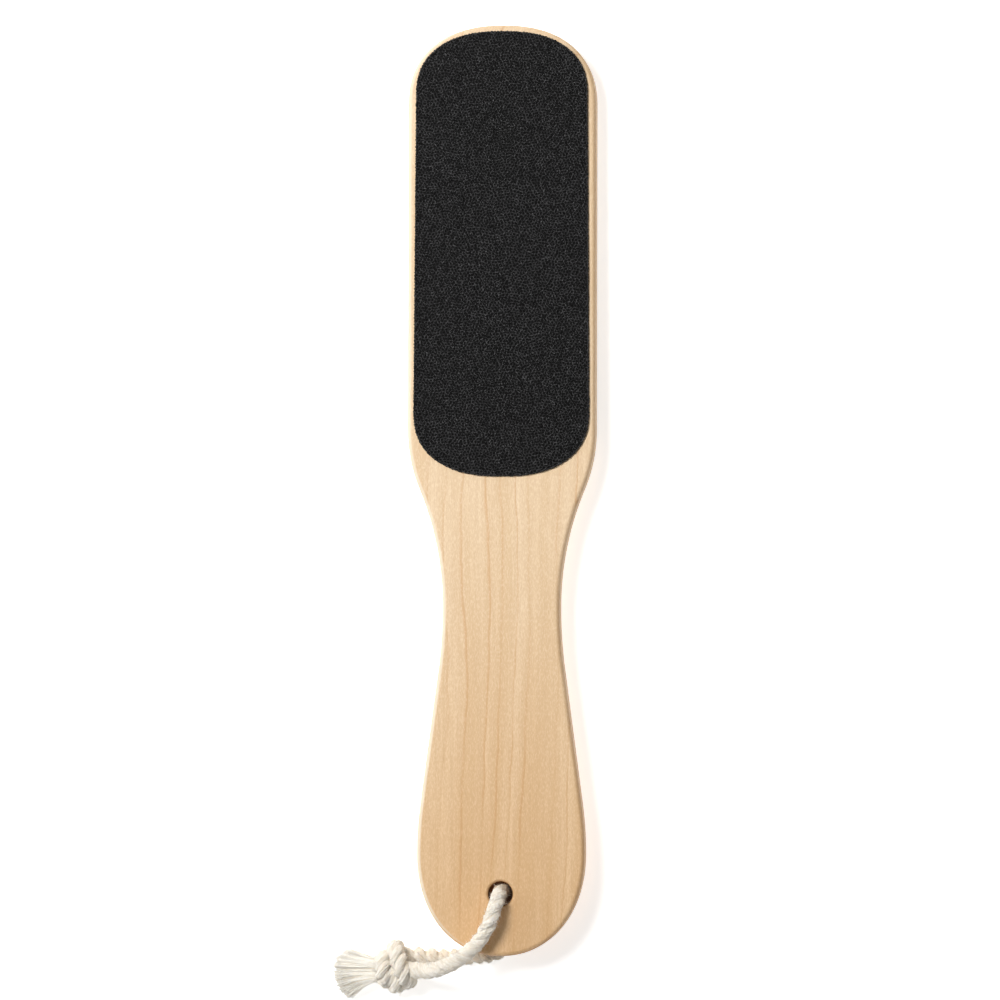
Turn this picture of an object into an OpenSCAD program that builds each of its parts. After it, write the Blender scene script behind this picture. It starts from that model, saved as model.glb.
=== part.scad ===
// Foot file: a wooden paddle with an abrasive sheet on each face, and a short rope knotted into a hanging loop
// through the hole in its handle.
// Millimetres. X runs across the paddle, Y along it towards the blade, and Z up from the surface that it lies on.
// The origin is on that surface, under the middle of the paddle. The rope's lower run lies under the handle and
// lifts it, so the paddle rests on the tip of its back sheet and on the rope, tipped by about a degree.

/* [Paddle] */
// Overall length of the wood
paddle_l = 260; // [230:1:320]
// Thickness of the wood
paddle_t = 8; // [6:0.5:10]
// Radius of the rounding along every edge
edge_r = 1.3; // [0.5:0.1:1.3]
// Width of the blade
blade_w = 52.7; // [46:0.1:64]
// Length of the blade, from its tip to the start of the shoulders
blade_l = 113; // [100:1:125]
// Length of the blade's rounded end
blade_end_l = 22.3; // [14:0.1:30]
// Length of the shoulders, from the blade to the waist
shoulder_l = 49.7; // [35:0.1:60]
// Width of the waist
waist_w = 32.8; // [26:0.2:41]
// Width of the handle where it is widest
handle_w = 47; // [43:0.2:57]
// Length of the handle's rounded end
handle_end_l = 28.6; // [18:0.1:36]

/* [Hole for the rope] */
// Diameter of the hole
hole_d = 6.8; // [6.8:0.1:9]
// Distance of the hole's centre from the handle's end
hole_inset = 17.4; // [14:0.1:24]
// Radius of the rounding around each mouth of the hole
hole_rim_r = 1; // [0.8:0.1:1.5]

/* [Abrasive sheets] */
// How far each sheet runs past the start of the shoulders
sheet_past_blade = 13.2; // [0:0.1:14]
// Bare wood between the blade's tip and the sheets
sheet_tip_margin = 1.8; // [1.8:0.1:6]
// Bare wood at each side of the sheets, near the blade's tip
sheet_tip_side_margin = 2.35; // [2.3:0.05:6]
// Bare wood at each side of the sheets, near the shoulders
sheet_foot_side_margin = 1.8; // [1.8:0.05:6]
// How much shorter the sheets' rounded ends are than the blade's
sheet_end_shortening = 4.3; // [2:0.1:8]
// Thickness of the adhesive film under each sheet
adhesive_t = 0.15; // [0.1:0.05:0.3]
// How far the adhesive film stays back from the sheet's edge
adhesive_inset = 0.3; // [0.1:0.1:1]
// Thickness of each sheet's cloth backing
backing_t = 0.45; // [0.2:0.05:0.8]
// Thickness of the coarse grit coat on the front
front_grit_t = 0.4; // [0.2:0.05:0.8]
// Thickness of the finer grit coat on the back
back_grit_t = 0.3; // [0.2:0.05:0.8]

/* [Rope] */
// Diameter of the rope
rope_d = 4.5; // [3.6:0.1:4.5]
// Length of the knot, along the rope
knot_l = 11.2; // [9:0.1:14]
// Width of the knot, flat on the surface
knot_w = 14.5; // [11:0.1:17]
// Height of the knot
knot_h = 11.6; // [9:0.1:12]
// Length of the frayed ends beyond the knot
fray_l = 10.7; // [6:0.1:20]
// Width of one frayed end at its outer edge
fray_w = 7; // [5:0.1:7]
// Thickness of the frayed ends at their outer edge
fray_t = 4.8; // [3:0.1:5]

/* [Hidden] */
$fn = 48;

// Squareness of the outline's rounded ends: 2 is an ellipse, and more is squarer
blade_end_power = 2.3;
handle_end_power = 2.12;
sheet_end_power = 2.4;
// How much of its room each S-curve spends on its two arcs, and the part of them that its first arc has
shoulder_turn_share = 1;
shoulder_first_arc_share = 0.66;
grip_turn_share = 0.7;
grip_first_arc_share = 0.44;
// Steps along a rounded end, along an arc of an S-curve and around a rounded edge
end_steps = 14;
arc_steps = 7;
edge_steps = 4;

// Points of an outline closer than this are one point
same_place = 0.01;
// How far a cut runs past the wood
overrun = 1;
// How far the rounding of the hole's mouths turns before it runs straight out through the face
rim_turn = 70;
// How deep the frayed ends are drawn into the knot
knot_grip = 1.2;

// Sides of the rope's tube, and of the knot and the frayed ends
rope_sides = 12;
knot_sides = 20;

// Routes of the rope's two runs, from the middle of the hole to the knot. X and Y are measured from the hole's
// axis, and Z from the surface that the file lies on.
front_route = [
  [0, 0.8, 11.1], [-0.1, 0.4, 13.6], [-0.4, -0.7, 15.8], [-0.9, -2.4, 17.6], [-1.6, -4.6, 18.7],
  [-2.4, -7, 19.1], [-3.6, -9.6, 19], [-5.3, -12.3, 18.6], [-7.5, -14.8, 18.2], [-10.1, -17, 17.8],
  [-12.9, -18.9, 17.4], [-15.7, -20.2, 16.4], [-17.9, -21, 14.9], [-19.8, -21.5, 13], [-21.6, -21.7, 11.2],
  [-23.7, -21.8, 9.9], [-26, -21.7, 9.1], [-28.4, -21.5, 8.5]
];
back_route = [
  [0, 0.8, 11.1], [0.3, 0.4, 8.4], [0.9, -0.6, 5.8], [1.7, -2.4, 3.9], [2.6, -4.7, 2.7], [3.3, -7.4, 2.3],
  [3.4, -10.3, 2.3], [2.4, -13.2, 2.3], [0.4, -15.7, 2.3], [-2.2, -17.2, 2.3], [-5.1, -17.9, 2.3],
  [-8.1, -18.2, 2.3], [-11.1, -18.4, 2.3], [-14.1, -18.5, 2.3], [-17.1, -18.5, 2.3], [-20.1, -18.4, 2.6],
  [-23, -18.2, 3.2], [-25.8, -18, 4], [-28.4, -17.9, 4.7]
];
// Height at which the rope's bend under the handle holds the middle of the hole
hole_height = 10.3;
// Middle of the knot, and where the frayed ends' middles start and end beside it
knot_place = [-30.4, -20.6, knot_h/2];
upper_fray_start = [-36, -18.9, 4.6];
upper_fray_drift_y = 0.1;
lower_fray_start = [-36, -22.9, 4.4];
lower_fray_drift_y = -3.1;
// Width and thickness of a frayed end where it leaves the knot
fray_root_d = 4;
// How the knot swells along its length: pairs of a place along it and the size there. It has two wraps.
knot_profile_shares = [[0, 0.5], [0.06, 0.74], [0.16, 0.92], [0.28, 1], [0.4, 0.93], [0.5, 0.87],
                       [0.6, 0.93], [0.72, 1], [0.84, 0.92], [0.94, 0.74], [1, 0.5]];
// How a frayed end opens along its length, in the same way
fray_profile_shares = [[0, 0], [0.3, 0.25], [0.65, 0.65], [1, 1]];

// Places along the paddle, from its middle
tip_y = paddle_l/2;
shoulder_y = tip_y - blade_l;
waist_y = shoulder_y - shoulder_l;
grip_y = handle_end_l - paddle_l/2;
hole_y = hole_inset - paddle_l/2;
hole_r = hole_d/2;

// The sheets' size follows the blade
sheet_l = blade_l - sheet_tip_margin + sheet_past_blade;
sheet_end_l = blade_end_l - sheet_end_shortening;
sheet_tip_w = blade_w - 2*sheet_tip_side_margin;
sheet_foot_w = blade_w - 2*sheet_foot_side_margin;
sheet_tip_y = tip_y - sheet_tip_margin;
sheet_y = sheet_tip_y - sheet_l/2;

// Heights in the sheets' stacks, from the middle of the wood
backing_z = paddle_t/2 + adhesive_t;
grit_z = backing_z + backing_t;
back_grit_face = grit_z + back_grit_t;

// The tip of the back sheet touches the surface, and the hole is held at its height
hole_to_tip = sheet_tip_y - hole_y;
rest_tilt = asin(hole_height/norm([hole_to_tip, back_grit_face])) - atan2(back_grit_face, hole_to_tip);
rest_lift = sheet_tip_y*sin(rest_tilt) + back_grit_face*cos(rest_tilt);
hole_rest_y = hole_y*cos(rest_tilt);

// Quarter of a rounded end: from its side, at [half_w, 0], to its tip, at [0, end_l]
function round_end(half_w, end_l, power) =
  [for (i = [0:end_steps]) let (a = 90*i/end_steps) [half_w*pow(cos(a), 2/power), end_l*pow(sin(a), 2/power)]];

// S-curve from [0, 0] to [drop, length] that starts and ends along Y: an arc, a straight stretch and an arc
function s_curve(drop, length, turn_share, first_arc_share) =
  let (radii = turn_share*(length*length + drop*drop)/(2*drop),
       straight = sqrt(max(0, length*length - 2*radii*drop + drop*drop)),
       turn = atan2(length, radii - drop) - atan2(straight, radii),
       first_r = first_arc_share*radii,
       last_r = radii - first_r)
  concat(
    [for (i = [0:arc_steps]) let (a = turn*i/arc_steps) [first_r*(1 - cos(a)), first_r*sin(a)]],
    [for (i = [arc_steps:-1:0]) let (a = turn*i/arc_steps) [drop - last_r*(1 - cos(a)), length - last_r*sin(a)]]);

function moved(points, offset, flip_x = 1, flip_y = 1) =
  [for (p = points) [offset.x + flip_x*p.x, offset.y + flip_y*p.y]];

function backwards(list) = [for (i = [len(list) - 1:-1:0]) list[i]];

// The points of a list without those that lie on the one before
function distinct(points) =
  [for (i = [0:len(points) - 1]) if (i == 0 || norm(points[i] - points[max(0, i - 1)]) > same_place) points[i]];

// A closed outline from its right side, which runs from the bottom point to the top point, both on the Y axis
function whole_outline(right_side) =
  concat(right_side, [for (i = [len(right_side) - 2:-1:1]) [-right_side[i].x, right_side[i].y]]);

// Right side of the paddle: the handle's end, the grip, the shoulder, the blade's side and its rounded end
function paddle_side() =
  distinct(concat(
    backwards(moved(round_end(handle_w/2, handle_end_l, handle_end_power), [0, grip_y], 1, -1)),
    moved(s_curve((handle_w - waist_w)/2, waist_y - grip_y, grip_turn_share, grip_first_arc_share),
          [handle_w/2, grip_y], -1),
    moved(s_curve((blade_w - waist_w)/2, shoulder_l, shoulder_turn_share, shoulder_first_arc_share),
          [waist_w/2, waist_y]),
    moved(round_end(blade_w/2, blade_end_l, blade_end_power), [0, tip_y - blade_end_l])));

// Right side of a sheet, which is a little wider at its foot
function sheet_side() =
  concat(
    backwards(moved(round_end(sheet_foot_w/2, sheet_end_l, sheet_end_power), [0, sheet_end_l - sheet_l/2], 1, -1)),
    moved(round_end(sheet_tip_w/2, sheet_end_l, sheet_end_power), [0, sheet_l/2 - sheet_end_l]));

function unit(v) = v/norm(v);

// An outline drawn in by a distance, with its points counted to the left
function inset(points, distance) =
  [for (i = [0:len(points) - 1])
    let (before = points[(i + len(points) - 1) % len(points)],
         after = points[(i + 1) % len(points)],
         along = unit(after - before))
    points[i] + distance*[-along.y, along.x]];

// Closed solid through rings that have the same number of points, all counted the same way round. It is capped at
// its first and last ring, or else looped, with the last ring joined to the first.
module loft(rings, looped = false) {
  sides = len(rings[0]);
  last = len(rings) - 1;
  bands = [for (i = [0:looped ? last : last - 1], j = [0:sides - 1])
    let (here = i*sides, above = ((i + 1) % len(rings))*sides, next = (j + 1) % sides)
    each [[here + j, above + j, here + next], [here + next, above + j, above + next]]];
  caps = [[for (j = [0:sides - 1]) j], [for (j = [sides - 1:-1:0]) last*sides + j]];
  polyhedron(points = [for (ring = rings) each ring], faces = looped ? bands : concat(caps, bands), convexity = 6);
}

// Ring of points around a place, in the plane of two unit directions
function ring(middle, across, up, half_across, half_up, sides) =
  [for (j = [0:sides - 1]) let (a = 360*j/sides) middle + half_across*cos(a)*across + half_up*sin(a)*up];

// Direction of a route at each of its points
function headings(route) =
  [for (i = [0:len(route) - 1]) unit(route[min(i + 1, len(route) - 1)] - route[max(i - 1, 0)])];

// Directions square to the route that turn as little as they can from one point to the next
function carried(directions, start, i = 0, done = []) =
  i == len(directions) ? done :
  let (last = i == 0 ? start : done[i - 1],
       square = unit(last - (last*directions[i])*directions[i]))
  carried(directions, start, i + 1, concat(done, [square]));

// Round tube along a route, with its first ring level
module tube(route, diameter, sides) {
  first = unit([0, 0, route[1].z - route[0].z]);
  directions = concat([first], [for (i = [1:len(route) - 1]) headings(route)[i]]);
  across = carried(directions, [1, 0, 0]);
  loft([for (i = [0:len(route) - 1])
    ring(route[i], across[i], cross(directions[i], across[i]), diameter/2, diameter/2, sides)]);
}

// Puts what is drawn around the middle of the wood into the pose in which the file lies
module as_it_rests() {
  translate([0, 0, rest_lift]) rotate([-rest_tilt, 0, 0]) children();
}

// Puts what is drawn around the hole's axis beside it, on the surface
module beside_hole() {
  translate([0, hole_rest_y, 0]) children();
}

// Turns a stack drawn for the front over to the back
module on_back() {
  rotate([0, 180, 0]) children();
}

// Plug of the hole's shape: its bore, and a rounding that opens out past each face
module hole_cut() {
  rounding_middle = [hole_r + hole_rim_r, paddle_t/2 - hole_rim_r];
  upper = [for (i = [0:edge_steps]) let (a = rim_turn*i/edge_steps)
    rounding_middle + hole_rim_r*[-cos(a), sin(a)]];
  slope = [sin(rim_turn), cos(rim_turn)];
  lip = upper[edge_steps] + overrun/cos(rim_turn)*slope;
  rotate_extrude()
    polygon(concat([[0, -lip.y], [lip.x, -lip.y]], [for (p = backwards(upper)) [p.x, -p.y]], upper,
                   [lip, [0, lip.y]]));
}

// Band that rounds the paddle's edge, around a flat-sided core that is smaller all round by the edge's radius
module rounded_edge(outline) {
  lower = [for (i = [0:edge_steps]) let (a = 90*i/edge_steps)
    [edge_r*(1 - sin(a)), edge_r*(1 - cos(a)) - paddle_t/2]];
  upper = [for (p = backwards(lower)) [p.x, -p.y]];
  loft([for (edge = concat(lower, upper)) [for (p = inset(outline, edge.x)) [p.x, p.y, edge.y]]], looped = true);
}

module wooden_paddle() {
  outline = whole_outline(paddle_side());
  color("#EBD0A9")
    as_it_rests()
      union() {
        rounded_edge(outline);
        difference() {
          linear_extrude(height = paddle_t, center = true) polygon(inset(outline, edge_r));
          translate([0, hole_y, 0]) hole_cut();
        }
      }
}

// One layer of a sheet, from a height above the middle of the wood
module layer(z, thickness, drawn_in = 0) {
  translate([0, sheet_y, z])
    linear_extrude(height = thickness)
      polygon(inset(whole_outline(sheet_side()), drawn_in));
}

module front_adhesive_film() {
  color("#D9CFAE") as_it_rests() layer(paddle_t/2, adhesive_t, adhesive_inset);
}

module front_backing_sheet() {
  color("#3A332C") as_it_rests() layer(backing_z, backing_t);
}

module front_grit_coat() {
  color("#2E2C2C") as_it_rests() layer(grit_z, front_grit_t);
}

module back_adhesive_film() {
  color("#D9CFAE") as_it_rests() on_back() layer(paddle_t/2, adhesive_t, adhesive_inset);
}

module back_backing_sheet() {
  color("#3A332C") as_it_rests() on_back() layer(backing_z, backing_t);
}

module back_grit_coat() {
  color("#353333") as_it_rests() on_back() layer(grit_z, back_grit_t);
}

module rope_front_run() {
  color("#EFE9DF") beside_hole() tube(front_route, rope_d, rope_sides);
}

module rope_back_run() {
  color("#EFE9DF") beside_hole() tube(back_route, rope_d, rope_sides);
}

// The knot, swollen into two wraps that lie side by side along the rope
module rope_knot() {
  color("#EAE3D6")
    beside_hole()
      loft([for (place = knot_profile_shares)
        ring(knot_place + [knot_l*(0.5 - place[0]), 0, 0], [0, 1, 0], [0, 0, 1],
             place[1]*knot_w/2, place[1]*knot_h/2, knot_sides)]);
}

// One frayed end, which opens from the knot and settles onto the surface
module frayed_end(start, drift_y) {
  end = [start.x - fray_l, start.y + drift_y, fray_t/2];
  root = start + [knot_grip, 0, 0];
  color("#F0EADF")
    beside_hole()
      loft([for (place = fray_profile_shares)
        ring(root + place[0]*(end - root), [0, 1, 0], [0, 0, 1],
             (fray_root_d + place[1]*(fray_w - fray_root_d))/2,
             (fray_root_d + place[1]*(fray_t - fray_root_d))/2, knot_sides)]);
}

module upper_frayed_end() {
  frayed_end(upper_fray_start, upper_fray_drift_y);
}

module lower_frayed_end() {
  frayed_end(lower_fray_start, lower_fray_drift_y);
}

wooden_paddle();
front_adhesive_film();
front_backing_sheet();
front_grit_coat();
back_adhesive_film();
back_backing_sheet();
back_grit_coat();
rope_front_run();
rope_back_run();
rope_knot();
upper_frayed_end();
lower_frayed_end();
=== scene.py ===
import math

import bpy
import numpy as np
from mathutils import Matrix, Vector, noise
from mathutils.geometry import tessellate_polygon


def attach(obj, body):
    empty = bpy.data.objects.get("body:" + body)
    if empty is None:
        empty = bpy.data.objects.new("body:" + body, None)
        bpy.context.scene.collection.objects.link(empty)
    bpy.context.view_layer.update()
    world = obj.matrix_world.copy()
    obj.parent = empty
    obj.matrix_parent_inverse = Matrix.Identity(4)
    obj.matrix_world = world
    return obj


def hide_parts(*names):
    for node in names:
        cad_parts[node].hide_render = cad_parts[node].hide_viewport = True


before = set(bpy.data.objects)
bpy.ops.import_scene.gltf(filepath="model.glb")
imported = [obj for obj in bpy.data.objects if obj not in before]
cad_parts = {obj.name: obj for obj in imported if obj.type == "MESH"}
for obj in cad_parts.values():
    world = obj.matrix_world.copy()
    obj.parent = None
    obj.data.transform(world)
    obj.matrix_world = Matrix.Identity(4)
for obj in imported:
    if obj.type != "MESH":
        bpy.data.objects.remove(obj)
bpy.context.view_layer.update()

# Sizes of the part are in millimetres until a mesh is made. The camera's and the lamps' are in metres.
MM = 0.001

# Sizes, as in the part's source
PADDLE_L, PADDLE_T, EDGE_R = 260, 8, 1.3
BLADE_W, BLADE_L, BLADE_END_L = 52.7, 113, 22.3
SHOULDER_L, WAIST_W = 49.7, 32.8
HANDLE_W, HANDLE_END_L = 47, 28.6
HOLE_D, HOLE_INSET, HOLE_RIM_R, RIM_TURN = 6.8, 17.4, 1, 70
BLADE_END_POWER, HANDLE_END_POWER, SHEET_END_POWER = 2.3, 2.12, 2.4
SHOULDER_TURN, SHOULDER_FIRST_ARC = 1, 0.66
GRIP_TURN, GRIP_FIRST_ARC = 0.7, 0.44
SHEET_L, SHEET_TIP_W, SHEET_FOOT_W, SHEET_END_L, SHEET_MARGIN = 124.4, 48, 49.1, 18, 1.8
GRIT_Z, FRONT_GRIT_T, BACK_GRIT_T = 4.6, 0.4, 0.3
ROPE_D = 4.5
# The rope under the handle holds the hole's middle up at this height
HOLE_HEIGHT = 10.3

HALF_T = PADDLE_T / 2
TIP_Y = PADDLE_L / 2
SHOULDER_Y = TIP_Y - BLADE_L
WAIST_Y = SHOULDER_Y - SHOULDER_L
GRIP_Y = HANDLE_END_L - PADDLE_L / 2
HOLE_Y = HOLE_INSET - PADDLE_L / 2
SHEET_TIP_Y = TIP_Y - SHEET_MARGIN
SHEET_Y = SHEET_TIP_Y - SHEET_L / 2
BACK_FACE = GRIT_Z + BACK_GRIT_T
TIP_RUN = SHEET_TIP_Y - HOLE_Y
REST_TILT = math.asin(HOLE_HEIGHT / math.hypot(TIP_RUN, BACK_FACE)) - math.atan2(BACK_FACE, TIP_RUN)
REST_LIFT = SHEET_TIP_Y * math.sin(REST_TILT) + BACK_FACE * math.cos(REST_TILT)
HOLE_REST_Y = HOLE_Y * math.cos(REST_TILT)

# How finely the meshes are cut
OUTLINE_STEP, GRIT_EDGE_STEP = 1.1, 0.27
END_STEPS, SHEET_END_STEPS, CURVE_STEPS = 160, 120, 60
EDGE_STEPS, RIM_STEPS, HOLE_SIDES = 8, 8, 96
RUN_STEP, KNOT_STEP, STRAND_SIDES = 0.22, 0.25, 45

# Routes of the rope from the middle of the hole: x and y from the hole's axis, z from the floor
FRONT_ROUTE = [
    (0, 0.8, 11.1), (-0.1, 0.4, 13.6), (-0.4, -0.7, 15.8), (-0.9, -2.4, 17.6), (-1.6, -4.6, 18.7),
    (-2.4, -7, 19.1), (-3.6, -9.6, 19), (-5.3, -12.3, 18.6), (-7.5, -14.8, 18.2), (-10.1, -17, 17.8),
    (-12.9, -18.9, 17.4), (-15.7, -20.2, 16.4), (-17.9, -21, 14.9), (-19.8, -21.5, 13), (-21.6, -21.7, 11.2),
    (-23.7, -21.8, 9.9), (-26, -21.7, 9.1), (-28.4, -21.5, 8.5),
]
BACK_ROUTE = [
    (0, 0.8, 11.1), (0.3, 0.4, 8.4), (0.9, -0.6, 5.8), (1.7, -2.4, 3.9), (2.6, -4.7, 2.7), (3.3, -7.4, 2.3),
    (3.4, -10.3, 2.3), (2.4, -13.2, 2.3), (0.4, -15.7, 2.3), (-2.2, -17.2, 2.3), (-5.1, -17.9, 2.3),
    (-8.1, -18.2, 2.3), (-11.1, -18.4, 2.3), (-14.1, -18.5, 2.3), (-17.1, -18.5, 2.3), (-20.1, -18.4, 2.6),
    (-23, -18.2, 3.2), (-25.8, -18, 4), (-28.4, -17.9, 4.7),
]


# Camera, lights and surroundings
def placed(name, data, place, back, up):
    """A camera or a lamp that looks against back, with its own Y towards up."""
    thing = bpy.data.objects.new(name, data)
    bpy.context.scene.collection.objects.link(thing)
    thing.location = place
    thing.rotation_mode = "QUATERNION"
    back = back.normalized()
    right = up.cross(back).normalized()
    thing.rotation_quaternion = Matrix((right, back.cross(right), back)).transposed().to_quaternion()
    return thing


def make_camera():
    """A long lens above the part, leaning a little to its right."""
    distance, view_height, film_width, lean = 1.5, 0.2793, 36, math.radians(5)
    target = Vector((-0.42, -2.75, 10.5)) * MM
    data = bpy.data.cameras.new("camera")
    data.sensor_width = film_width
    data.lens = film_width * distance / view_height
    back = Vector((math.sin(lean), 0, math.cos(lean)))
    bpy.context.scene.camera = placed("camera", data, target + distance * back, back, Vector((0, 1, 0)))


def area_light(name, place, target, size, watts, colour=(1, 1, 1)):
    data = bpy.data.lights.new(name, "AREA")
    data.shape, data.size, data.energy, data.color = "DISK", size, watts, colour
    almost_y = Vector((0, 1, 0.01))
    placed(name, data, place, Vector(place) - Vector(target), almost_y)


def make_world():
    """A dim white room with low bright walls, so that low views have a pale background."""
    dim, bright, wall_top, wall_fade = 0.12, 0.8, 0.1, 0.2
    world = bpy.data.worlds.new("studio")
    bpy.context.scene.world = world
    world.use_nodes = True
    nodes, links = world.node_tree.nodes, world.node_tree.links
    background = nodes["Background"]
    background.inputs["Color"].default_value = (1, 1, 1, 1)
    parts, height = nodes.new("ShaderNodeSeparateXYZ"), nodes.new("ShaderNodeMapRange")
    links.new(nodes.new("ShaderNodeTexCoord").outputs["Generated"], parts.inputs[0])
    links.new(parts.outputs["Z"], height.inputs["Value"])
    ramp = {"From Min": wall_top, "From Max": wall_fade, "To Min": bright, "To Max": dim}
    for socket, value in ramp.items():
        height.inputs[socket].default_value = value
    links.new(height.outputs["Result"], background.inputs["Strength"])


make_camera()
area_light("key_light", (-0.36, 0.28, 0.82), (0, -0.01, 0), size=0.4, watts=8.5, colour=(1, 0.99, 0.98))
area_light("left_strip", (-1, 0.05, 0.42), (0, 0, 0), size=0.6, watts=1.9, colour=(0.93, 0.97, 1))
area_light("overhead_fill", (0.15, 0.1, 1.3), (0, 0, 0), size=1.1, watts=1.2)
make_world()
bpy.context.scene.view_settings.view_transform = "Standard"


# Node materials
class Finish:
    """A procedural material, with short names for the nodes that it uses.

    Its coordinates are in millimetres, so a noise's scale is its number of swells to the millimetre.
    """

    def __init__(self, name, **constants):
        self.material = bpy.data.materials.new(name)
        self.material.use_nodes = True
        self.tree = self.material.node_tree
        self.shader = self.tree.nodes["Principled BSDF"]
        for socket, value in constants.items():
            self.shader.inputs[socket.replace("_", " ")].default_value = value

    def add(self, kind, inputs=(), output=0, **settings):
        node = self.tree.nodes.new("ShaderNode" + kind)
        for key, value in settings.items():
            setattr(node, key, value)
        for socket, value in dict(inputs).items():
            self.feed(node.inputs[socket], value)
        return node.outputs[output]

    def feed(self, socket, value):
        if isinstance(value, bpy.types.NodeSocket):
            self.tree.links.new(value, socket)
        else:
            socket.default_value = value

    def scaled(self, vector, by):
        return self.add("VectorMath", {0: vector, 1: by}, operation="MULTIPLY")

    def places(self):
        return self.scaled(self.add("TexCoord", output="Object"), (1 / MM, 1 / MM, 1 / MM))

    def lay_map(self):
        return self.add("UVMap", uv_map="lay")

    def parts(self, vector):
        """The x, y and z of a vector."""
        node = self.add("SeparateXYZ", {0: vector}).node
        return [node.outputs[axis] for axis in "XYZ"]

    def distance(self, place, other):
        return self.add("VectorMath", {0: place, 1: other}, output="Value", operation="DISTANCE")

    def from_hole(self, here):
        """Distance from the hole's axis, at any height."""
        return self.distance(self.scaled(here, (1, 1, 0)), (0, HOLE_REST_Y, 0))

    def noise(self, vector, scale=1, detail=2, rough=0.5):
        sockets = {"Vector": vector, "Scale": scale, "Detail": detail, "Roughness": rough}
        return self.add("TexNoise", sockets, output="Fac")

    def maths(self, operation, a, b=0, clamp=False):
        return self.add("Math", {0: a, 1: b}, operation=operation, use_clamp=clamp)

    def times(self, a, b):
        return self.maths("MULTIPLY", a, b)

    def shift(self, noise_value, width):
        """A noise as a shift to either side."""
        return self.times(self.maths("SUBTRACT", noise_value, 0.5), width)

    def band(self, value, low, high, to_low=0, to_high=1):
        """A smooth step between two values, up or down."""
        sockets = {"Value": value, "From Min": low, "From Max": high, "To Min": to_low, "To Max": to_high}
        return self.add("MapRange", sockets, interpolation_type="SMOOTHSTEP")

    def mix(self, share, a, b, blend="MIX"):
        """Two colours mixed. The sockets go by number, because their names repeat."""
        share_in, a_in, b_in, colour_out = 0, 6, 7, 2
        node = self.tree.nodes.new("ShaderNodeMix")
        node.data_type, node.blend_type, node.clamp_factor = "RGBA", blend, True
        for socket, value in ((share_in, share), (a_in, a), (b_in, b)):
            self.feed(node.inputs[socket], value)
        return node.outputs[colour_out]

    def bump(self, height, depth, normal=None, strength=1):
        sockets = {"Height": height, "Distance": depth * MM, "Strength": strength}
        if normal is not None:
            sockets["Normal"] = normal
        return self.add("Bump", sockets)

    def finish(self, colour, roughness, normal=None):
        for socket, value in (("Base Color", colour), ("Roughness", roughness), ("Normal", normal)):
            if value is not None:
                self.feed(self.shader.inputs[socket], value)
        return self.material


def rgb(red, green, blue):
    """A colour given in screen values, 0 to 255, as the linear one that a shader takes."""
    shares = [value / 255 for value in (red, green, blue)]
    linear = [s / 12.92 if s <= 0.04045 else ((s + 0.055) / 1.055) ** 2.4 for s in shares]
    return (*linear, 1)


def growth_lines(f, here):
    """A place's distance across the growth rings, and how strong their lines and halos are there."""
    sway_w, jitter_w, slant = 15, 2.4, 0.8
    lines_per_mm, uneven = 0.19, 2.4
    x, _, z = f.parts(here)
    # The lines run along Y, wander sideways and come and go
    sway = f.noise(f.scaled(here, (0.03, 0.0085, 0.05)), detail=1)
    jitter = f.noise(f.scaled(here, (0.14, 0.06, 0.1)), detail=3)
    across = f.maths("ADD", x, f.shift(sway, sway_w))
    across = f.maths("ADD", across, f.shift(jitter, jitter_w))
    across = f.maths("ADD", across, f.times(z, slant))
    spacing = f.noise(f.add("CombineXYZ", {"X": f.times(across, 0.09)}), detail=1)
    saw = f.maths("FRACT", f.maths("ADD", f.times(across, lines_per_mm), f.times(spacing, uneven)))
    line = f.times(f.band(saw, 0.8, 0.94), f.band(saw, 1, 0.955))
    halo = f.band(saw, 0.1, 1)
    shown = f.band(f.noise(f.scaled(here, (0.16, 0.014, 0.16))), 0.4, 0.6, 0.15, 1)
    return across, f.times(line, shown), halo


def maple_face(f, here, fibre, fleck):
    """Broad bands, threads, fibres, growth lines, flecks and a fine mottle, laid over each other."""
    across, line, halo = growth_lines(f, here)
    _, y, _ = f.parts(here)
    streak = f.noise(f.add("CombineXYZ", {"X": f.times(across, 0.16), "Y": f.times(y, 0.004)}))
    thread = f.noise(f.scaled(here, (1.1, 0.016, 1.1)))
    mottle = f.noise(f.scaled(here, (4.2, 1, 4.2)), rough=0.6)
    colour = f.mix(f.band(streak, 0.32, 0.68), rgb(242, 218, 184), rgb(229, 199, 158))
    colour = f.mix(f.band(thread, 0.3, 0.7, 0, 0.4), colour, rgb(222, 190, 149))
    colour = f.mix(f.band(fibre, 0.35, 0.7, 0, 0.34), colour, rgb(218, 186, 147))
    colour = f.mix(f.times(halo, 0.16), colour, rgb(219, 187, 146))
    colour = f.mix(f.times(line, 0.65), colour, rgb(212, 162, 108))
    colour = f.mix(f.times(fleck, 0.4), colour, rgb(201, 163, 121))
    colour = f.mix(f.band(mottle, 0.4, 0.6, 0, 0.34), colour, rgb(216, 184, 146))
    colour = f.mix(f.band(mottle, 0.5, 0.36, 0, 0.3), colour, rgb(247, 228, 202))
    # The face grows warmer and darker towards the handle's end
    return f.mix(f.band(y, 5, -128), colour, rgb(242, 228, 209), blend="MULTIPLY")


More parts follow.
